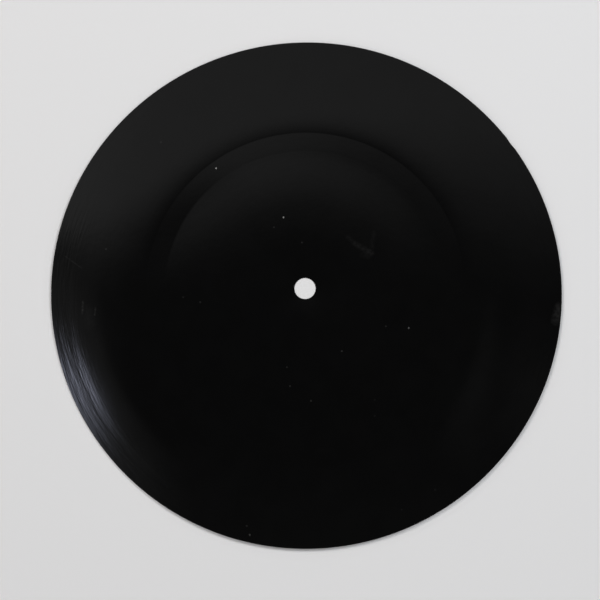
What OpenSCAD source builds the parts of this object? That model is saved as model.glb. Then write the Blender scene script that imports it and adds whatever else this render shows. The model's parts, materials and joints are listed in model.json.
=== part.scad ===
// Flexi disc: one round sheet of thin black vinyl film, with its sound groove pressed into the
// underside. Lengths are in millimetres. The origin is the middle of the spindle hole, on the
// plane of the grooved face, and +Z runs up through the film to the smooth face.

/* [Film] */
// Outside diameter of the disc
disc_d = 175; // [145:1:200]
// Thickness of the film
film_t = 0.2; // [0.15:0.01:0.3]
// Diameter of the spindle hole
spindle_hole_d = 7.3; // [6:0.1:9]

/* [Recording] */
// Distance between one turn of the recording and the next
groove_pitch = 0.5; // [0.45:0.01:0.8]
// Width of the groove where it opens at the face
groove_w = 0.25; // [0.15:0.01:0.3]
// Depth of the groove
groove_depth = 0.05; // [0.03:0.005:0.08]
// Diameter at which the recording ends
recording_end_d = 110; // [91:1:125]

/* [Lead-in and run-out] */
// Plain film between the rim and the outermost turn
edge_land_w = 1.5; // [1:0.1:3]
// Width of the lead-in, from its outer end to the start of the recording
lead_in_w = 3.5; // [2:0.1:6]
// Number of turns in the lead-in
lead_in_turns = 2; // [1:1:3]
// Width of the run-out, from the end of the recording to the locked groove
run_out_w = 6.7; // [4:0.1:10]
// Number of turns in the run-out
run_out_turns = 2; // [1:1:3]
// Radius of the bend that brings the run-out into the locked groove
merge_bend_r = 20; // [15:1:24]
// How far outside the locked groove that bend begins
merge_step = 0.6; // [0.4:0.05:1]
// Width of the locked groove, which is cut broader than the rest
locked_groove_w = 0.32; // [0.3:0.01:0.4]
// Depth of the locked groove, which is cut deeper than the rest
locked_groove_depth = 0.065; // [0.06:0.005:0.1]

/* [Smooth face] */
// Width of the furrow that shows through over the end of the recording
end_furrow_w = 3; // [1.5:0.1:4]
// Depth of that furrow
end_furrow_depth = 0.03; // [0.01:0.005:0.05]
// Width of the fainter furrows, over the locked groove and the start of the recording
faint_furrow_w = 1.2; // [0.6:0.1:2]
// Depth of the fainter furrows
faint_furrow_depth = 0.015; // [0.005:0.005:0.03]

/* [Hidden] */

// Radii of the groove's stretches, each counted from the one outside it or from its own size
disc_r = disc_d / 2;
recording_start_r = disc_r - edge_land_w - lead_in_w;
recording_end_r = recording_end_d / 2;
locked_r = recording_end_r - run_out_w;

// A whole number of turns fills the recording, so its last turn meets the run-out
recording_turns = round((recording_start_r - recording_end_r) / groove_pitch);
recording_pitch = (recording_start_r - recording_end_r) / recording_turns;
lead_in_pitch = lead_in_w / lead_in_turns;
run_out_end_r = locked_r + merge_step;
run_out_pitch = (recording_end_r - run_out_end_r) / run_out_turns;

// The merging bend is this share of the groove's width and depth, and starts this angle early, in
// degrees round its centre, so that both its ends lie inside the grooves that it joins
merge_share = 0.9;
merge_lap_angle = 1;
// How far a cutter reaches past the face that it cuts
overshoot = 0.02;
// Share of the end furrow's width that its steep inner wall takes
steep_share = 0.2;

$fn = 180;

// Outline of the groove's cutter in the plane of radius and height: one V tooth for each turn. A tooth
// is w wide where it crosses the face, at height 0, and its tip is at height depth.
module groove_teeth(first_r, turns = 1, pitch = 0, w = groove_w, depth = groove_depth) {
    root = w / 2 * (depth + overshoot) / depth;
    polygon(
        [for (turn = [0 : turns - 1])
            let (r = first_r + turn * pitch)
            each [[r - root, -overshoot], [r + root, -overshoot], [r, depth]]],
        [for (turn = [0 : turns - 1]) [3 * turn, 3 * turn + 1, 3 * turn + 2]]
    );
}

// A spiral of true arcs. Half a turn about one centre and half a turn about another, half a pitch
// away, meet square to the X axis, so the groove is smooth and unbroken. Its inner end is on +X,
// and seen from above it runs outward counter-clockwise.
module spiral_cutter(inner_r, turns, pitch) {
    translate([-pitch / 4, 0, 0])
        rotate_extrude(angle = 180)
            groove_teeth(inner_r + pitch / 4, turns, pitch);
    translate([pitch / 4, 0, 0])
        rotate([0, 0, 180])
            rotate_extrude(angle = 180)
                groove_teeth(inner_r + pitch * 3 / 4, turns, pitch);
}

// The bend leaves the run-out's inner end square to the X axis and turns in more tightly than the
// locked groove, so it crosses that groove's middle at a clear angle, merge_angle past that axis.
module merge_cutter() {
    centre_x = run_out_end_r - merge_bend_r;
    merge_angle = acos((locked_r ^ 2 - centre_x ^ 2 - merge_bend_r ^ 2) / (2 * centre_x * merge_bend_r));
    translate([centre_x, 0, 0])
        rotate([0, 0, -merge_angle])
            rotate_extrude(angle = merge_angle + merge_lap_angle)
                groove_teeth(merge_bend_r, w = groove_w * merge_share, depth = groove_depth * merge_share);
}

// The groove that ends the side: one closed ring, in which the stylus stays
module locked_groove_cutter() {
    rotate_extrude()
        groove_teeth(locked_r, w = locked_groove_w, depth = locked_groove_depth);
}

// A ring-shaped furrow in the smooth face. inner_share is the part of its width, from the inside,
// over which it falls to its full depth. Half makes an even V.
module furrow_cutter(inner_r, width, depth, inner_share = 0.5) {
    slope_in = depth / (width * inner_share);
    slope_out = depth / (width * (1 - inner_share));
    translate([0, 0, film_t])
        rotate_extrude()
            polygon([
                [inner_r - overshoot / slope_in, overshoot],
                [inner_r + width * inner_share, -depth],
                [inner_r + width + overshoot / slope_out, overshoot]
            ]);
}

module vinyl_disc() {
    color("#0b0b0d")
    difference() {
        cylinder(d = disc_d, h = film_t);
        translate([0, 0, -film_t])
            cylinder(d = spindle_hole_d, h = 3 * film_t);

        spiral_cutter(recording_start_r, lead_in_turns, lead_in_pitch);
        spiral_cutter(recording_end_r, recording_turns, recording_pitch);
        spiral_cutter(run_out_end_r, run_out_turns, run_out_pitch);
        merge_cutter();
        locked_groove_cutter();

        furrow_cutter(recording_end_r, end_furrow_w, end_furrow_depth, steep_share);
        furrow_cutter(locked_r - faint_furrow_w / 2, faint_furrow_w, faint_furrow_depth);
        furrow_cutter(recording_start_r - faint_furrow_w / 2, faint_furrow_w, faint_furrow_depth);
    }
}

vinyl_disc();
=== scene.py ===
# %% [markdown]
# # A flexi disc of glossy black vinyl film
# A flexi disc is a gramophone record pressed into a single sheet of vinyl film, about as thick as a
# playing card. It has no other parts, so the whole object is one piece. Its colour is plain black.
# What makes it look real is its shape, because film this thin never lies quite flat, and what that
# shape mirrors.
#
# The imported CAD model comes first. It is the frame that fixes every size.

# %% Load the frame
import json
import math

import bmesh
import bpy
import numpy as np
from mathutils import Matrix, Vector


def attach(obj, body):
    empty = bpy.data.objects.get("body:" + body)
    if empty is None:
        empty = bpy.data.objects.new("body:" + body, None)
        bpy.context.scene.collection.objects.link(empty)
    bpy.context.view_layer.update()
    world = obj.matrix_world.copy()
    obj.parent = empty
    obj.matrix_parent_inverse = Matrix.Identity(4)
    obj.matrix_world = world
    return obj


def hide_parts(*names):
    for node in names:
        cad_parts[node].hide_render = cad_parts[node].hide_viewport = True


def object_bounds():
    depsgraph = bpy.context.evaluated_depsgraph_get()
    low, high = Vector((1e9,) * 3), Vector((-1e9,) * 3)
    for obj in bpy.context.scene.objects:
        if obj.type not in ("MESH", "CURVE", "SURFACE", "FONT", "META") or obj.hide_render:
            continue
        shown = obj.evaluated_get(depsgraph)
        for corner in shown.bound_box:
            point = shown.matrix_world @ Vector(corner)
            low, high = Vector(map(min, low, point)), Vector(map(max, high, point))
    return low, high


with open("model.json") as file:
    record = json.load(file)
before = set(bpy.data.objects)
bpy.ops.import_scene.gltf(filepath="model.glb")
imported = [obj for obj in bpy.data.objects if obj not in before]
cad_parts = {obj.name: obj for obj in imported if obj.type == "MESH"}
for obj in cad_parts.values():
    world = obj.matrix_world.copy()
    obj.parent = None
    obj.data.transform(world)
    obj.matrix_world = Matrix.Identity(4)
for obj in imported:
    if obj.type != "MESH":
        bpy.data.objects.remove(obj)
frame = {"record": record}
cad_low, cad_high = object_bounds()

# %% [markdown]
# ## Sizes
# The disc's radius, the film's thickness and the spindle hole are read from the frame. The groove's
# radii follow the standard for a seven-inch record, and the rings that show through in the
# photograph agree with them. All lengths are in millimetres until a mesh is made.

MM = 0.001

mounts = {mount["name"]: mount for mount in frame["record"]["mounts"]}
disc_r = cad_high.x / MM
film_t = (cad_high.z - cad_low.z) / MM
spindle_hole_r = mounts["spindle_hole"]["dims"]["r_mm"]

lead_in_start_r = 86.0
recording_start_r = 82.5
recording_end_r = 55.0
locked_r = 48.3
lead_in_turns = 2
recording_turns = 55
run_out_turns = 2

groove_w = 0.25
groove_depth = 0.05
locked_groove_w = 0.32
locked_groove_depth = 0.065

print(f"disc radius {disc_r:.2f} mm, film {film_t:.2f} mm thick, hole radius {spindle_hole_r:.2f} mm")

# %% [markdown]
# ## The camera
# The photograph was taken from almost straight above, a hand's breadth towards the lower edge of
# the disc and a little to its right. The camera stands at that angle and that distance, so the
# circle comes out as the same slight ellipse. It is made first, because what a mirror-like
# surface shows depends on where the viewer stands.

# %% Camera at the photograph's angle
view_elevation = 82.70
view_azimuth = 10.04
view_distance = 363.9
view_target = np.array([-1.72, -4.0, film_t])
sensor_w = 36.0
lens = 63.6

elevation, azimuth = math.radians(view_elevation), math.radians(view_azimuth)
towards_camera = np.array([
    math.sin(azimuth) * math.cos(elevation),
    -math.cos(azimuth) * math.cos(elevation),
    math.sin(elevation),
])
camera_right = np.array([1.0, 0.0, 0.0]) - towards_camera[0] * towards_camera
camera_right /= np.linalg.norm(camera_right)
camera_up = np.cross(towards_camera, camera_right)

camera_pose = np.eye(4)
camera_pose[:3, 0] = camera_right
camera_pose[:3, 1] = camera_up
camera_pose[:3, 2] = towards_camera
camera_pose[:3, 3] = (view_target + view_distance * towards_camera) * MM

camera = bpy.data.objects.new("camera", bpy.data.cameras.new("camera"))
camera.data.sensor_width = sensor_w
camera.data.lens = lens
camera.data.clip_start = 0.01
camera.matrix_world = camera_pose.T.tolist()
bpy.context.scene.collection.objects.link(camera)
bpy.context.scene.camera = camera
print(f"camera {view_distance:.0f} mm from the disc, {view_elevation:.1f} degrees above it")

# %% [markdown]
# ## How the film lies
# The film is stiff enough to hold soft bends and too thin to lie flat. Pressing the groove shrinks
# the recorded part a little, so the middle sinks into a shallow dish, a step climbs out of it where
# the recording ends, and the rim curls down on one side. A mirror doubles every tilt, so slopes of
# one to three degrees make all the rings and glints that show.
#
# The bend is one formula in polar coordinates, radius r and direction angle. Both faces of the film
# use it, so its thickness stays the same all over.

# %% Smooth curves for the bend
def ease(x):
    """0 up to x = 0 and 1 from x = 1 on, with the smooth curve 3x^2 - 2x^3 between."""
    x = np.clip(x, 0.0, 1.0)
    return x * x * (3.0 - 2.0 * x)


def swing(angle, middle, width):
    """1 in the direction middle, easing to 0 at width degrees to either side of it."""
    off = np.abs((np.degrees(angle) - middle + 180.0) % 360.0 - 180.0)
    return ease(1.0 - off / width)


# %% The bend of the film
# The dish: its slope, where that begins to fade and where it is gone
dish_slope = math.tan(math.radians(1.02))
dish_steady_r = 30.4
dish_end_r = 44.1
# The lip up to the locked groove, and the band beyond it, whose slope is in degrees
lip_start_r = 30.0
lip_rise = 0.168
lip_power = 4
band_slope = 2.04
# The step: where it begins, how soon its slope fades and how high it climbs
step_start_r = 54.8
step_w = 6.0
step_rise = 0.378
# The rim's curl and its kink: where they begin, how far they fall and how sharply
curl_start_r = 70.8
curl_fall = 0.962
curl_power = 1.27
kink_r = 76.5
kink_fall = 0.04
kink_power = 1.05

# Sides on which the bend differs: the middle and half the width, in degrees
top_side = (111.0, 50.0)
upper_left_side = (155.0, 33.0)
curled_side = (211.0, 48.0)
# How far it differs there: rises in mm, slopes in degrees
lip_less_at_top = 0.103
lip_less_at_upper_left = 0.129
band_less_at_top = 0.91
band_more_at_upper_left = 0.66
step_less_at_top = 0.071


def film_bend(r, angle):
    """Height of the film's underside, in mm, before the whole is set down on the floor.

    The dish climbs from the hole at a steady slope up to dish_steady_r, and the slope fades evenly to
    nothing at dish_end_r. From lip_start_r a lip climbs as the fourth power of the distance, up to
    the locked groove. A straight band, sloping by band_slope degrees, climbs on to the end of the
    recording. There a step climbs whose slope fades exponentially, by a factor e in every step_w.
    All three are weaker at the top of the disc, and at the upper left the lip nearly vanishes while
    the band is steeper. Near the rim the film falls as a power of the distance, with a slight kink at
    kink_r, on the lower left only.
    """
    at_top = swing(angle, *top_side)
    at_upper_left = swing(angle, *upper_left_side)

    fading = np.clip((r - dish_steady_r) / (dish_end_r - dish_steady_r), 0.0, 1.0)
    dish = np.minimum(r, dish_steady_r) + (dish_end_r - dish_steady_r) * (fading - fading**2 / 2.0)

    lip = np.clip((r - lip_start_r) / (locked_r - lip_start_r), 0.0, 1.0) ** lip_power
    lip = lip * (lip_rise - lip_less_at_top * at_top - lip_less_at_upper_left * at_upper_left)

    degrees = band_slope - band_less_at_top * at_top + band_more_at_upper_left * at_upper_left
    band = np.tan(np.radians(degrees)) * np.clip(r - locked_r, 0.0, step_start_r - locked_r)

    step = 1.0 - np.exp(-np.clip(r - step_start_r, 0.0, None) / step_w)
    step = step * (step_rise - step_less_at_top * at_top)

    curl = curl_fall * np.clip((r - curl_start_r) / (disc_r - curl_start_r), 0.0, 1.0) ** curl_power
    kink = kink_fall * np.clip((r - kink_r) / (disc_r - kink_r), 0.0, 1.0) ** kink_power
    fall = (curl + kink) * swing(angle, *curled_side)
    return dish_slope * dish + lip + band + step - fall


# %% [markdown]
# ## Directions round the disc
# Every ring of the mesh has its points in the same directions, so that rings can be joined by
# simple bands of faces. The directions are evenly spaced, with a few more where the rim has a tiny
# nick at the upper right, five millimetres long and a fifth of a millimetre deep.

# %% Directions and the rim's outline
steps_per_turn = 240
nick_angle = 35.3
nick_half_w = 1.1
nick_depth = 0.2

even = np.arange(steps_per_turn) * 360.0 / steps_per_turn
extra = nick_angle + nick_half_w * np.array([-1.5, -1.0, -0.5, 0.0, 0.5, 1.0, 1.5])
plain = even[np.abs(even - nick_angle) > 2.0 * nick_half_w]
directions = np.radians(np.sort(np.concatenate([plain, extra])))
n_dir = len(directions)


def rim_r(angle):
    """Radius of the die-cut edge: the disc's radius, less a small dent round the nick's direction."""
    return disc_r - nick_depth * swing(angle, nick_angle, nick_half_w * 1.5)


print(f"{n_dir} directions round the disc")

# %% [markdown]
# ## The spiral groove
# A record has a single groove. It starts near the rim, runs in through the recording, hurries across
# the run-out and ends in a closed ring, the locked groove. Drawing it as concentric circles would be
# easier, but then the underside would be wrong wherever it catches the light.
#
# Here the groove is a long strip that winds round the disc. Each point of the path has four points
# across it: the near edge of the V, its bottom, its far edge, and the middle of the land beyond.
# The land joins each turn to the next one out. At both ends the V shrinks to nothing, so the strip
# closes on a plain ring and the mesh has no gap. A real groove has about 0.12 mm between turns, and
# this one has 0.5 mm, because it has to be coarse enough to be made of real faces.

# %% Path of the groove, from the locked groove outward
turns_marks = np.cumsum([0, run_out_turns, recording_turns, lead_in_turns])
run_out_start_r = locked_r + locked_groove_w / 2.0
radius_marks = [run_out_start_r, recording_end_r, recording_start_r, lead_in_start_r]
n_turns = int(turns_marks[-1])
n_path = n_turns * n_dir + 1
taper_turns = 1.0 / 16.0

path_index = np.arange(n_path)
path_angle = directions[path_index % n_dir]
path_turns = path_index // n_dir + path_angle / (2.0 * math.pi)
path_r = np.interp(path_turns, turns_marks, radius_marks)
taper = ease(path_turns / taper_turns) * ease((n_turns - path_turns) / taper_turns)

near_r = path_r - groove_w / 2.0 * taper
far_r = path_r + groove_w / 2.0 * taper
next_near_r = np.full(n_path, lead_in_start_r)
next_near_r[:-n_dir] = near_r[n_dir:]
land_r = (far_r + next_near_r) / 2.0

groove_len = np.sum(np.hypot(np.diff(path_r), path_r[:-1] * np.diff(path_turns) * 2.0 * math.pi))
print(f"groove of {n_turns} turns, {groove_len / 1000:.1f} m long as drawn")

# %% [markdown]
# ## The film's surfaces
# The mesh is built from rows of points. A row is a full ring, except on the groove's strip, where it
# follows the path. One list holds all the points, and each part keeps the numbers of its own rows.

# %% Rows of points and bands of faces
rows_x, rows_y, rows_z, rows_pressed, faces = [], [], [], [], []
n_points = 0


def add_row(r, angle, above, pressed=0.0):
    """Adds points at radius r and direction angle, the height above on top of the film's bend.

    Returns their numbers. pressed says how much of the groove's pressing the surface has, 0 or 1.
    """
    global n_points
    r = np.broadcast_to(np.asarray(r, float), angle.shape)
    rows_x.append(r * np.cos(angle))
    rows_y.append(r * np.sin(angle))
    rows_z.append(film_bend(r, angle) + above)
    rows_pressed.append(np.full(angle.shape, float(pressed)))
    numbers = np.arange(n_points, n_points + len(angle))
    n_points += len(angle)
    return numbers


def join_rows(inner, outer, up):
    """Adds the faces between two rows of the same length. up says which way they look."""
    quads = np.stack([inner[:-1], outer[:-1], outer[1:], inner[1:]], axis=1)
    faces.append(quads if up else quads[:, ::-1])


def ring(r, above, pressed=0.0):
    """A closed row at radius r: its first number is repeated at the end."""
    numbers = add_row(r, directions, above, pressed)
    return np.append(numbers, numbers[0])


def join_rings(rings, up):
    """Joins each ring to the next."""
    for inner, outer in zip(rings, rings[1:]):
        join_rows(inner, outer, up)


# %% The grooved underside
edge_round = 0.04
hole_edge = spindle_hole_r + edge_round

middle_radii = np.linspace(hole_edge, locked_r - locked_groove_w / 2.0, 20)
middle = [ring(r, 0.0) for r in middle_radii]
locked_bottom = ring(locked_r, locked_groove_depth, 1.0)
locked_far = ring(locked_r + locked_groove_w / 2.0, 0.0, 1.0)
join_rings([*middle, locked_bottom, locked_far], up=False)

near = add_row(near_r, path_angle, 0.0, 1.0)
bottom = add_row(path_r, path_angle, groove_depth * taper, 1.0)
far = add_row(far_r, path_angle, 0.0, 1.0)
land = add_row(land_r, path_angle, 0.0, 1.0)
join_rows(near, bottom, up=False)
join_rows(bottom, far, up=False)
join_rows(far, land, up=False)
join_rows(land[:-n_dir], near[n_dir:], up=False)

first_turn = slice(0, n_dir + 1)
first_angle = path_angle[first_turn]
first_land_r = (run_out_start_r + near_r[first_turn]) / 2.0
first_land = add_row(first_land_r, first_angle, 0.0, 1.0)
join_rows(locked_far, first_land, up=False)
join_rows(first_land, near[first_turn], up=False)

rim_under = ring(rim_r(directions) - edge_round, 0.0)
lead_in_edge = ring(lead_in_start_r, 0.0, 1.0)
join_rows(land[-n_dir - 1:], lead_in_edge, up=False)
join_rings([lead_in_edge, rim_under], up=False)
print(f"underside of {sum(len(f) for f in faces)} faces")

# %% [markdown]
# ## The smooth face
# The other face is never pressed, but the film is so thin that the groove's loosest turns show
# through it as fine lines: the locked groove and the few turns of the lead-in. They are real furrows
# here, a few thousandths of a millimetre deep, with rows of points close enough to shape them. They
# are deepest on the lower left, where the press bit hardest. The rows are also close where the film
# bends most.

# %% Furrows that show through
# The two broad furrows. Each has its middle a little inside the line that it belongs to
recording_start_depth = 0.0025
recording_start_half_w = 3.16
recording_start_inset = 0.58
lead_in_depth = 0.0017
lead_in_half_w = 2.56
lead_in_inset = 0.98
deepest_angle = 209.7
deepest_half_angle = 47.3
deepest_times = 10.6
# The fine ones
fine_depth = 0.0015
fine_half_w = 0.4


def furrow(distance, depth, half_w):
    """A furrow with a rounded bottom: depth at distance 0, gone at half_w either side."""
    return -depth * ease(1.0 - np.abs(distance) / half_w)


def show_through(r, angle):
    """Height of the smooth face above or below its plain level, from the lines that show through.

    The broad furrows of the lead-in grow to deepest_times their depth towards deepest_angle.
    """
    from_start = r - recording_start_r + recording_start_inset
    from_lead_in = r - lead_in_start_r + lead_in_inset
    broad = furrow(from_start, recording_start_depth, recording_start_half_w)
    broad = broad + furrow(from_lead_in, lead_in_depth, lead_in_half_w)
    times = 1.0 + (deepest_times - 1.0) * swing(angle, deepest_angle, deepest_half_angle)
    height = furrow(r - locked_r, fine_depth, fine_half_w) + broad * times
    pitch = (lead_in_start_r - recording_start_r) / lead_in_turns
    for turn in range(lead_in_turns + 1):
        line_r = recording_start_r + (turn + angle / (2.0 * math.pi)) * pitch
        line_r = np.minimum(line_r, lead_in_start_r)
        height = height + furrow(r - line_r, fine_depth, fine_half_w)
    return height


# %% The smooth face
# Where the rows begin and end, and how far apart they are
row_bands = [
    (hole_edge, 46.0, 2.0), (46.0, 54.0, 0.35), (54.0, 59.0, 0.2),
    (59.0, 76.0, 1.6), (76.0, 80.0, 0.8), (80.0, 87.2, 0.2),
]
top_radii = np.concatenate([np.arange(*band) for band in row_bands])
top = [ring(r, film_t + show_through(r, directions)) for r in top_radii]
rim_top = ring(rim_r(directions) - edge_round, film_t)
join_rings([*top, rim_top], up=True)
print(f"smooth face of {len(top_radii)} rings")

# %% [markdown]
# ## The cut edges
# A die cuts the rim and the spindle hole in one stroke. The cut faces are square with a tiny rounded
# corner, which is what draws the thin bright line round such a disc.

# %% Rim and hole
rim_wall = [ring(rim_r(directions), height) for height in (edge_round, film_t - edge_round)]
join_rings([rim_under, *rim_wall, rim_top], up=False)

hole_wall = [ring(spindle_hole_r, height) for height in (edge_round, film_t - edge_round)]
join_rings([middle[0], *hole_wall, top[0]], up=True)


# %% [markdown]
# ## One closed mesh
# The rows are set down on the floor by lowering the whole sheet until its lowest point touches. The
# points that coincide, where the strip begins and ends, are merged, and then the faces are turned to
# look outward.

# %% Make the film
# Points closer than this are one, in metres. Edges sharper than this many degrees stay sharp
same_point_distance = 2e-7
sharp_angle = 12.0


def make_mesh(name, points_mm, quads, pressed):
    """A mesh of quads from points in mm, with doubles merged and faces looking outward.

    pressed is stored at each point under that name, for the material to read.
    """
    mesh = bpy.data.meshes.new(name)
    mesh.from_pydata((points_mm * MM).tolist(), [], quads.tolist())
    mesh.attributes.new("pressed", "FLOAT", "POINT").data.foreach_set("value", pressed)
    built = bmesh.new()
    built.from_mesh(mesh)
    bmesh.ops.remove_doubles(built, verts=built.verts, dist=same_point_distance)
    bmesh.ops.recalc_face_normals(built, faces=built.faces)
    open_edges = sum(1 for edge in built.edges if len(edge.link_faces) != 2)
    volume = built.calc_volume(signed=True) / MM**3
    built.to_mesh(mesh)
    built.free()
    print(f"{name}: {len(mesh.polygons)} faces, {open_edges} open edges, {volume:.0f} cubic mm")
    return mesh


points = np.stack([np.concatenate(rows) for rows in (rows_x, rows_y, rows_z)], axis=1)
lowest = points[:, 2].min()
points[:, 2] -= lowest
film_mesh = make_mesh("vinyl_disc_film", points, np.concatenate(faces), np.concatenate(rows_pressed))
film_mesh.shade_smooth()
film_mesh.set_sharp_from_angle(angle=math.radians(sharp_angle))
film = bpy.data.objects.new("vinyl_disc_film", film_mesh)
bpy.context.scene.collection.objects.link(film)

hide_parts("vinyl_disc")
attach(film, "root")
print(f"highest point {points[:, 2].max():.2f} mm above the floor")


# %% [markdown]
# ## Colours and nodes
# Colours are written as they would be picked from a screen, and one function turns them to the
# linear numbers that the shader works with. One small function adds a node with its settings and
# links.

# %% Helpers for materials
def linear(hex_colour):
    """Linear red, green, blue and alpha of an sRGB colour such as #0b0b0d."""
    channels = [int(hex_colour[i:i + 2], 16) / 255.0 for i in (1, 3, 5)]
    return [c / 12.92 if c <= 0.04045 else ((c + 0.055) / 1.055) ** 2.4 for c in channels] + [1.0]


def add_node(tree, kind, inputs=None, **settings):
    """Adds a node, sets its properties, and sets or links its inputs by name or number."""
    node = tree.nodes.new(kind)
    for name, value in settings.items():
        setattr(node, name, value)
    for key, value in (inputs or {}).items():
        if isinstance(value, bpy.types.NodeSocket):
            tree.links.new(value, node.inputs[key])
        else:
            node.inputs[key].default_value = value
    return node


def new_material(name):
    """An empty material: its node tree and its output node."""
    material = bpy.data.materials.new(name)
    material.use_nodes = True
    material.node_tree.nodes.clear()
    output = add_node(material.node_tree, "ShaderNodeOutputMaterial")
    return material, material.node_tree, output


# %% [markdown]
# ## Black vinyl film
# The film is calendered PVC, coloured through with carbon black. Polished rollers give it a gloss
# close to that of a mirror, with a very fine waviness called orange peel. Its index of refraction is
# about 1.53, so seen from above it mirrors only four hundredths of the light. Near the rim, where
# the film curls, the waviness is drawn out round the disc into short streaks. Where the groove is
# pressed, on the underside, the face is no longer a mirror but has a satin sheen.
#
# Dust is the only pale thing on it. It lies as specks, and a finger has drawn some of it into a smear.
# The same pale colour also paints a highlight where the rim lifts on the right, and the glint of scuffs
# on the left rim. Dust, wear and these painted highlights are worked out in Object coordinates, so that
# they stay on the film wherever it goes.

# %% Dust, wear, waviness and gloss
# Specks that the photograph shows: x and y in mm from the middle of the hole, and how much of the
# film each covers
specks = [
    (-31.1, 42.2, 0.42), (-7.5, 24.8, 0.38), (35.4, -13.7, 0.13), (-18.2, -83.0, 0.06),
    (12.6, -21.6, 0.032), (2.1, -38.5, 0.026), (-5.0, -33.5, 0.025), (-50.5, 51.5, 0.024),
    (-68.8, 13.6, 0.024), (-36.0, -4.8, 0.021), (-1.1, 16.0, 0.021), (-10.8, 21.3, 0.021),
    (27.6, -13.1, 0.019), (-19.2, -80.1, 0.019), (-6.1, -27.1, 0.018), (-41.9, -3.1, 0.016),
    (23.6, -43.5, 0.009), (43.5, -68.0, 0.008), (32.4, -74.6, 0.007), (23.7, -38.1, 0.006),
]
speck_r = 0.3

# The waviness, in mm: orange peel, and streaks that grow from faint_until_r to full_from_r
peel_size = 2.2
peel_height = 0.004
streak_len = 7.0
streak_w = 0.6
faint_until_r = 76.0
full_from_r = 81.0
faint_streak_height = 0.0015
rim_streak_height = 0.014

# Sizes of the other patterns, in mm: the mottle of the black, the haze, the ragged edges of the
# dust and how far they are pushed about, and the gaps in the marks
mottle_size = 9.0
haze_size = 14.0
ragged_size = 0.35
ragged_shift = 0.3
gap_size = 0.9

# Roughness of the bare film, and what full dust and the pressing of the groove add to it
least_roughness = 0.045
most_roughness = 0.075
dust_roughness = 0.5
pressed_roughness = 0.2

# Streaks of dust and abrasion, and painted highlights: both ends in mm, half the width in mm, and how
# much each covers
smears_and_painted_glints = [
    (14.8, 17.9, 17.5, 15.4, 1.1, 0.006),
    (17.5, 15.4, 22.8, 12.2, 1.3, 0.012),
    (20.0, 11.6, 21.5, 11.2, 1.5, 0.005),
    (22.6, 12.6, 23.8, 19.4, 1.1, 0.005),
    # Scuffs on the left rim: real wear, whose pale strokes also paint the glint they catch
    (-76.3, -4.8, -76.4, -8.9, 0.45, 0.035),
    (-71.9, -6.9, -72.1, -9.3, 0.4, 0.03),
    (-74.8, -8.0, -73.8, -12.5, 2.6, 0.006),
    (-82.8, 11.0, -77.0, 6.9, 0.3, 0.016),
    # A painted highlight where the rim lifts on the right, drawn in the colour of dust
    (85.2, -11.2, 86.5, -6.6, 2.0, 0.026),
]


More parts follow.
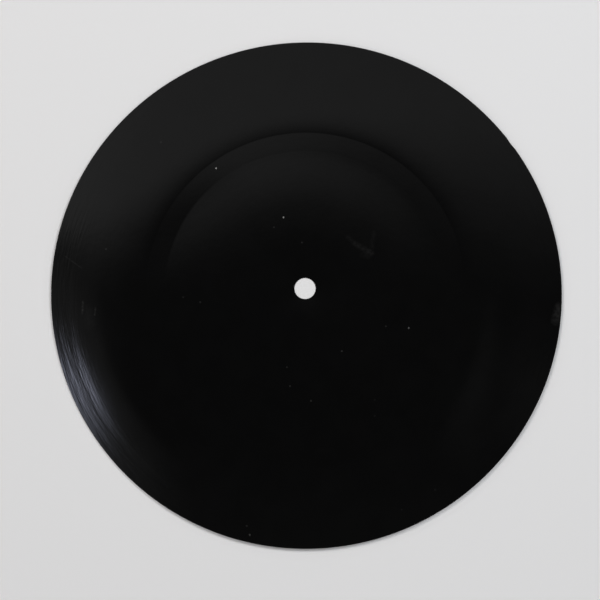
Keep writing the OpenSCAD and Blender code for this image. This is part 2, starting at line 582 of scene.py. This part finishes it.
# %% Black vinyl film
def black_vinyl_film():
    """Calendered black PVC: near-black, glossy, with orange peel, streaks at the rim, dust, and
    highlights painted in the dust's colour.
    """
    material, tree, output = new_material("calendered_black_pvc_film")
    place = add_node(tree, "ShaderNodeTexCoord").outputs["Object"]
    per_mm = 1.0 / MM

    def noise(size_mm, detail=2.0):
        inputs = {"Vector": place, "Scale": per_mm / size_mm, "Detail": detail}
        return add_node(tree, "ShaderNodeTexNoise", inputs)

    def number(operation, a, b=0.0, c=0.0):
        return add_node(tree, "ShaderNodeMath", {0: a, 1: b, 2: c}, operation=operation).outputs[0]

    def vector(operation, a, b=(0.0, 0.0, 0.0), c=(0.0, 0.0, 0.0)):
        return add_node(tree, "ShaderNodeVectorMath", {0: a, 1: b, 2: c}, operation=operation).outputs

    def spread(value, low, high, to_low, to_high):
        inputs = {1: low, 2: high, 3: to_low, 4: to_high}
        return add_node(tree, "ShaderNodeMapRange", {0: value, **inputs}).outputs[0]

    # Positions on the flat disc, and the same pushed about a little, so that dust and the painted
    # highlights have ragged edges
    flat = vector("MULTIPLY", place, (1.0, 1.0, 0.0))[0]
    shift = vector("SUBTRACT", noise(ragged_size).outputs["Color"], (0.5, 0.5, 0.5))[0]
    ragged = vector("MULTIPLY_ADD", shift, (ragged_shift * MM, ragged_shift * MM, 0.0), flat)[0]

    # A speck covers the film where the ragged distance to its middle is less than its radius
    dust_and_painted_glints = 0.0
    for x, y, cover in specks:
        distance = vector("DISTANCE", ragged, (x * MM, y * MM, 0.0))["Value"]
        dust_and_painted_glints = number("MULTIPLY_ADD", number("LESS_THAN", distance, speck_r * MM), cover, dust_and_painted_glints)

    # A mark fades from full at its middle line to nothing at half its width, and is patchy
    patchy = spread(noise(gap_size).outputs["Fac"], 0.35, 0.65, 0.3, 1.0)
    for x0, y0, x1, y1, half_w, cover in smears_and_painted_glints:
        length = math.hypot(x1 - x0, y1 - y0) * MM
        along = ((x1 - x0) * MM / length, (y1 - y0) * MM / length, 0.0)
        offset = vector("SUBTRACT", ragged, (x0 * MM, y0 * MM, 0.0))[0]
        reach = vector("DOT_PRODUCT", offset, along)["Value"]
        reach = number("MINIMUM", number("MAXIMUM", reach, 0.0), length)
        nearest = add_node(tree, "ShaderNodeVectorMath", {0: along, "Scale": reach}, operation="SCALE")
        distance = vector("DISTANCE", offset, nearest.outputs[0])["Value"]
        strength = spread(distance, 0.0, half_w * MM, cover, 0.0)
        dust_and_painted_glints = number("MULTIPLY_ADD", strength, patchy, dust_and_painted_glints)

    inputs = {0: noise(mottle_size).outputs["Fac"], 6: linear("#050505"), 7: linear("#080808")}
    black = add_node(tree, "ShaderNodeMix", inputs, data_type="RGBA")
    # The pale colour of dust, which also paints the highlight on the right rim and the glint of the
    # left scuffs
    inputs = {0: dust_and_painted_glints, 6: black.outputs[2], 7: linear("#b4b3b0")}
    colour = add_node(tree, "ShaderNodeMix", inputs, data_type="RGBA")

    # Roughness: a mirror with a faint patchy haze, duller under dust and the painted highlights, satin
    # where pressed
    pressed = add_node(tree, "ShaderNodeAttribute", attribute_name="pressed").outputs["Fac"]
    haze = noise(haze_size, 4.0).outputs["Fac"]
    roughness = spread(haze, 0.35, 0.75, least_roughness, most_roughness)
    roughness = number("MULTIPLY_ADD", dust_and_painted_glints, dust_roughness, roughness)
    roughness = number("MULTIPLY_ADD", pressed, pressed_roughness, roughness)

    # Height in mm: orange peel, and streaks that are noise in direction and radius
    middle_distance = vector("LENGTH", flat)["Value"]
    direction = vector("NORMALIZE", flat)[0]
    turns_out = number("MULTIPLY", middle_distance, per_mm / streak_w)
    across = add_node(tree, "ShaderNodeCombineXYZ", {2: turns_out})
    stretched = vector("MULTIPLY_ADD", direction, (disc_r / streak_len,) * 3, across.outputs[0])[0]
    inputs = {"Vector": stretched, "Scale": 1.0, "Detail": 2.0}
    streaks = add_node(tree, "ShaderNodeTexNoise", inputs)
    faint_until, full_from = faint_until_r * MM, full_from_r * MM
    heights = (faint_streak_height, rim_streak_height)
    streak_height = spread(middle_distance, faint_until, full_from, *heights)
    height = number("MULTIPLY", noise(peel_size).outputs["Fac"], peel_height)
    height = number("MULTIPLY_ADD", streaks.outputs["Fac"], streak_height, height)
    bumps = add_node(tree, "ShaderNodeBump", {"Height": height, "Strength": 1.0, "Distance": MM})

    inputs = {"Base Color": colour.outputs[2], "Roughness": roughness, "IOR": 1.53}
    inputs["Normal"] = bumps.outputs[0]
    film_shader = add_node(tree, "ShaderNodeBsdfPrincipled", inputs)
    tree.links.new(film_shader.outputs[0], output.inputs["Surface"])
    return material


film.data.materials.append(black_vinyl_film())
print(f"film finished in calendered black PVC with {len(specks)} specks and {len(smears_and_painted_glints)} marks")

# %% [markdown]
# ## Paper to lie on
# The disc lies on plain pale paper. Near the disc it is real paper, lit by the lamps and holding the
# disc's shadow. Far away, where only the side views look, it turns for the camera alone into the
# same even tone as the background, so there is no hard horizon.

# %% Paper
paper_hex = "#dddcdb"
paper_half = 4.0
tooth_size = 0.6
tooth_height = 0.02
# How far off the fade to the backdrop begins and ends, in metres
fade_start = 0.19
fade_end = 0.5

corners = [(-1, -1, 0), (1, -1, 0), (1, 1, 0), (-1, 1, 0)]
paper_mesh = bpy.data.meshes.new("paper")
paper_mesh.from_pydata((np.array(corners) * paper_half).tolist(), [], [(0, 1, 2, 3)])
paper = bpy.data.objects.new("paper", paper_mesh)
bpy.context.scene.collection.objects.link(paper)


def matt_paper():
    """Uncoated pale paper: matt, with a faint tooth, fading far off to the background's tone."""
    material, tree, output = new_material("uncoated_pale_paper")
    place = add_node(tree, "ShaderNodeTexCoord").outputs["Object"]
    inputs = {"Vector": place, "Scale": 1.0 / (tooth_size * MM), "Detail": 3.0}
    tooth = add_node(tree, "ShaderNodeTexNoise", inputs)
    inputs = {"Height": tooth.outputs["Fac"], "Strength": 0.3, "Distance": tooth_height * MM}
    bump = add_node(tree, "ShaderNodeBump", inputs)
    inputs = {"Base Color": linear(paper_hex), "Roughness": 0.9, "Normal": bump.outputs[0]}
    sheet = add_node(tree, "ShaderNodeBsdfPrincipled", inputs)
    far_off = add_node(tree, "ShaderNodeEmission", {"Color": linear(paper_hex), "Strength": 1.0})
    distance = add_node(tree, "ShaderNodeVectorMath", {0: place}, operation="LENGTH")
    fade = add_node(
        tree, "ShaderNodeMapRange",
        {"Value": distance.outputs["Value"], "From Min": fade_start, "From Max": fade_end},
        interpolation_type="SMOOTHSTEP",
    )
    seen = add_node(tree, "ShaderNodeLightPath").outputs["Is Camera Ray"]
    share = add_node(tree, "ShaderNodeMath", {0: fade.outputs[0], 1: seen}, operation="MULTIPLY")
    mixed = add_node(
        tree, "ShaderNodeMixShader", {0: share.outputs[0], 1: sheet.outputs[0], 2: far_off.outputs[0]}
    )
    tree.links.new(mixed.outputs[0], output.inputs["Surface"])
    return material


paper.data.materials.append(matt_paper())
print("paper laid under the disc")

# %% [markdown]
# ## Light for a black mirror
# A glossy black surface shows what stands over it and little else. The upper half of the disc
# mirrors a plain grey room, a little brighter on the left. The lower half mirrors a dark canopy with
# soft edges, which keeps it black. A cool window on the left is seen only by the curled rim. From
# the side the film mirrors the walls instead, and the edges of a band of pale panels, bent by the
# dish and the steps, show its shape. For the camera the room gives way to a plain backdrop in the
# paper's colour, but the film keeps mirroring the room, because a black mirror under a white sky
# would look grey.
#
# The paper is lit by a ring of soft light round the room and by two soft boxes, all at about fifty
# degrees. That is too far out for the film to mirror them from above, and too high for it to mirror
# them from the side. Light from all round leaves only the faintest shadow at the rim.
#
# The room is worked out from the direction of a ray: how far it leans to the right and how far it
# leans away, for each unit that it rises.

# %% An empty room
world = bpy.data.worlds.new("grey_room")
world.use_nodes = True
bpy.context.scene.world = world
room_tree = world.node_tree
room_tree.nodes.clear()


def combine(operation, a, b):
    """A Math node on two values or sockets."""
    return add_node(room_tree, "ShaderNodeMath", {0: a, 1: b}, operation=operation).outputs[0]


def clamp(value, low, high):
    """The value, but never under low or over high."""
    return combine("MINIMUM", combine("MAXIMUM", value, low), high)


def fade_in(value, edge):
    """0 before a soft edge and 1 past it. An edge is where it starts and how wide it is."""
    start, width = edge
    inputs = {"Value": value, "From Min": start, "From Max": start + width}
    return add_node(room_tree, "ShaderNodeMapRange", inputs, interpolation_type="SMOOTHSTEP").outputs[0]


def fade_out(value, edge):
    """1 before a soft edge and 0 past it."""
    return combine("SUBTRACT", 1.0, fade_in(value, edge))


def blend(here, there, share):
    """here where share is 0 and there where it is 1."""
    return combine("ADD", here, combine("MULTIPLY", share, combine("SUBTRACT", there, here)))


# A ray that rises less than this counts as rising this much
least_rise = 0.05
ray = add_node(room_tree, "ShaderNodeTexCoord").outputs["Generated"]
ray_parts = add_node(room_tree, "ShaderNodeSeparateXYZ", {0: ray}).outputs
ray_z = ray_parts["Z"]
rise = combine("MAXIMUM", ray_z, least_rise)
lean_right = combine("DIVIDE", ray_parts["X"], rise)
lean_away = combine("DIVIDE", ray_parts["Y"], rise)
print("empty room")

# %% Grey walls
# The level of light, and how fast it falls for each unit of lean to the right and away. The lean
# away is counted from far_from
room_level = 0.23
fall_to_right = 0.15
fall_away = 0.08
far_from = 0.25
darkest_wall = 0.12
brightest_wall = 0.36

left_wall_glow = 0.06
left_wall_edge = (-0.24, 0.08)
left_wall_foot = (0.16, 0.05)

# Low on the walls it is darker, but for a band of pale panels from 14 to 26 degrees up
low_loss = 0.6
low_edge = (0.2, 0.3)
panel_level = 0.5
panels_bottom = (0.235, 0.05)
panels_top = (0.40, 0.07)

level = combine("SUBTRACT", room_level, combine("MULTIPLY", lean_right, fall_to_right))
farther = combine("SUBTRACT", lean_away, far_from)
level = combine("SUBTRACT", level, combine("MULTIPLY", farther, fall_away))
left_wall = fade_out(lean_right, left_wall_edge)
left_wall = combine("MULTIPLY", left_wall, fade_in(lean_away, left_wall_foot))
level = combine("ADD", level, combine("MULTIPLY", left_wall, left_wall_glow))
level = clamp(level, darkest_wall, brightest_wall)
loss = combine("MULTIPLY", fade_out(ray_z, low_edge), low_loss)
level = combine("MULTIPLY", level, combine("SUBTRACT", 1.0, loss))
panels = combine("MULTIPLY", fade_out(ray_z, panels_top), fade_in(ray_z, panels_bottom))
level = blend(level, panel_level, panels)
print("grey walls with a band of panels")

# %% Dark canopy
# The far edge lies a little higher on the right, up to far_edge_most, and is softer there
far_edge_away = 0.214
far_edge_tilt = 0.137
far_edge_most = 0.017
far_softness = 0.157
far_softness_tilt = 0.32
least_softness = 0.04
most_softness = 0.3
canopy_left = (-0.507, 0.368)
canopy_right = (0.45, 0.25)
canopy_near = (-0.8, 0.3)

# Under the canopy it is a little less dark towards the far edge and towards the near side
canopy_level = 0.0105
far_glow = 0.035
far_glow_from = 0.1
near_glow = 0.13
near_glow_from = 0.03

far_edge = combine("MINIMUM", combine("MULTIPLY", lean_right, far_edge_tilt), far_edge_most)
far_edge = combine("ADD", far_edge, far_edge_away)
softness = combine("ADD", far_softness, combine("MULTIPLY", lean_right, far_softness_tilt))
softness = clamp(softness, least_softness, most_softness)
inside_by = combine("DIVIDE", combine("SUBTRACT", far_edge, lean_away), softness)
canopy = fade_in(inside_by, (-0.5, 1.0))
canopy = combine("MULTIPLY", canopy, fade_in(lean_right, canopy_left))
canopy = combine("MULTIPLY", canopy, fade_out(lean_right, canopy_right))
canopy = combine("MULTIPLY", canopy, fade_in(lean_away, canopy_near))

far_side = combine("MAXIMUM", combine("ADD", lean_away, far_glow_from), 0.0)
near_side = combine("MAXIMUM", combine("SUBTRACT", near_glow_from, lean_away), 0.0)
underneath = combine("MULTIPLY", far_side, far_glow)
underneath = combine("ADD", underneath, combine("MULTIPLY", near_side, near_glow))
underneath = combine("ADD", underneath, canopy_level)
level = blend(level, underneath, canopy)
print("dark canopy")

# %% Ring of light, window and two faint things
ring_level = 1.33
ring_bottom = (0.66, 0.04)
ring_top = (0.83, 0.04)

# The ring stands at about fifty degrees and lights the paper evenly from all round
ring_light = combine("MULTIPLY", fade_out(ray_z, ring_top), fade_in(ray_z, ring_bottom))
level = blend(level, ring_level, ring_light)


def patch(middle, radii, power):
    """A soft oval, 1 at its middle and 0 at twice its radii, in leans to the right and away."""
    x = combine("DIVIDE", combine("SUBTRACT", lean_right, middle[0]), radii[0])
    y = combine("DIVIDE", combine("SUBTRACT", lean_away, middle[1]), radii[1])
    off = combine("ADD", combine("MULTIPLY", x, x), combine("MULTIPLY", y, y))
    return combine("POWER", fade_out(combine("SQRT", off, 0.0), (0.0, 2.0)), power)


window_level = 12.0
window = patch((-0.468, -0.031), (0.131, 0.109), 4.0)

# Faint upright things on the right, which show as paler strokes on the lower right of the film. Each
# has its middle and its radii
thing_level = 0.037
faint_things = [((0.128, 0.05), (0.02, 0.05)), ((0.2, 0.03), (0.03, 0.045))]
for thing_middle, thing_radii in faint_things:
    thing = patch(thing_middle, thing_radii, 1.0)
    level = combine("ADD", level, combine("MULTIPLY", thing, thing_level))
print(f"ring of light, window and {len(faint_things)} faint things")

# %% What a ray finds
walls = add_node(room_tree, "ShaderNodeBackground", {"Color": linear("#ffffff"), "Strength": level})
inputs = {"Color": linear("#dfe5ff"), "Strength": combine("MULTIPLY", window, window_level)}
glass = add_node(room_tree, "ShaderNodeBackground", inputs)
room = add_node(room_tree, "ShaderNodeAddShader", {0: walls.outputs[0], 1: glass.outputs[0]})
backdrop = add_node(room_tree, "ShaderNodeBackground", {"Color": linear(paper_hex), "Strength": 1.0})
seen = add_node(room_tree, "ShaderNodeLightPath").outputs["Is Camera Ray"]
inputs = {0: seen, 1: room.outputs[0], 2: backdrop.outputs[0]}
chosen = add_node(room_tree, "ShaderNodeMixShader", inputs)
add_node(room_tree, "ShaderNodeOutputWorld", {"Surface": chosen.outputs[0]})
print("the camera sees the backdrop, and everything else the room")


# %% The lamps
def soft_box(name, place, size, watts, hex_colour):
    """A rectangular lamp at a place in metres, facing the middle of the disc."""
    lamp = bpy.data.lights.new(name, "AREA")
    lamp.shape = "RECTANGLE"
    lamp.size, lamp.size_y = size
    lamp.energy = watts
    lamp.color = linear(hex_colour)[:3]
    box = bpy.data.objects.new(name, lamp)
    x, y, z = place
    box.location = place
    box.rotation_euler = (math.atan2(math.hypot(x, y), z), 0.0, math.atan2(x, -y))
    bpy.context.scene.collection.objects.link(box)


soft_box("key_box", (-0.42, 0.45, 0.80), (0.3, 0.3), 2.6, "#fffaf6")
soft_box("fill_box", (0.50, 0.36, 0.80), (0.3, 0.3), 3.4, "#f4f9ff")
print("two soft boxes lit")

# %% [markdown]
# ## Finish
# The picture is shown as the camera would record it, with no tone curve.

# %% Finish
bpy.context.scene.view_settings.view_transform = "Standard"
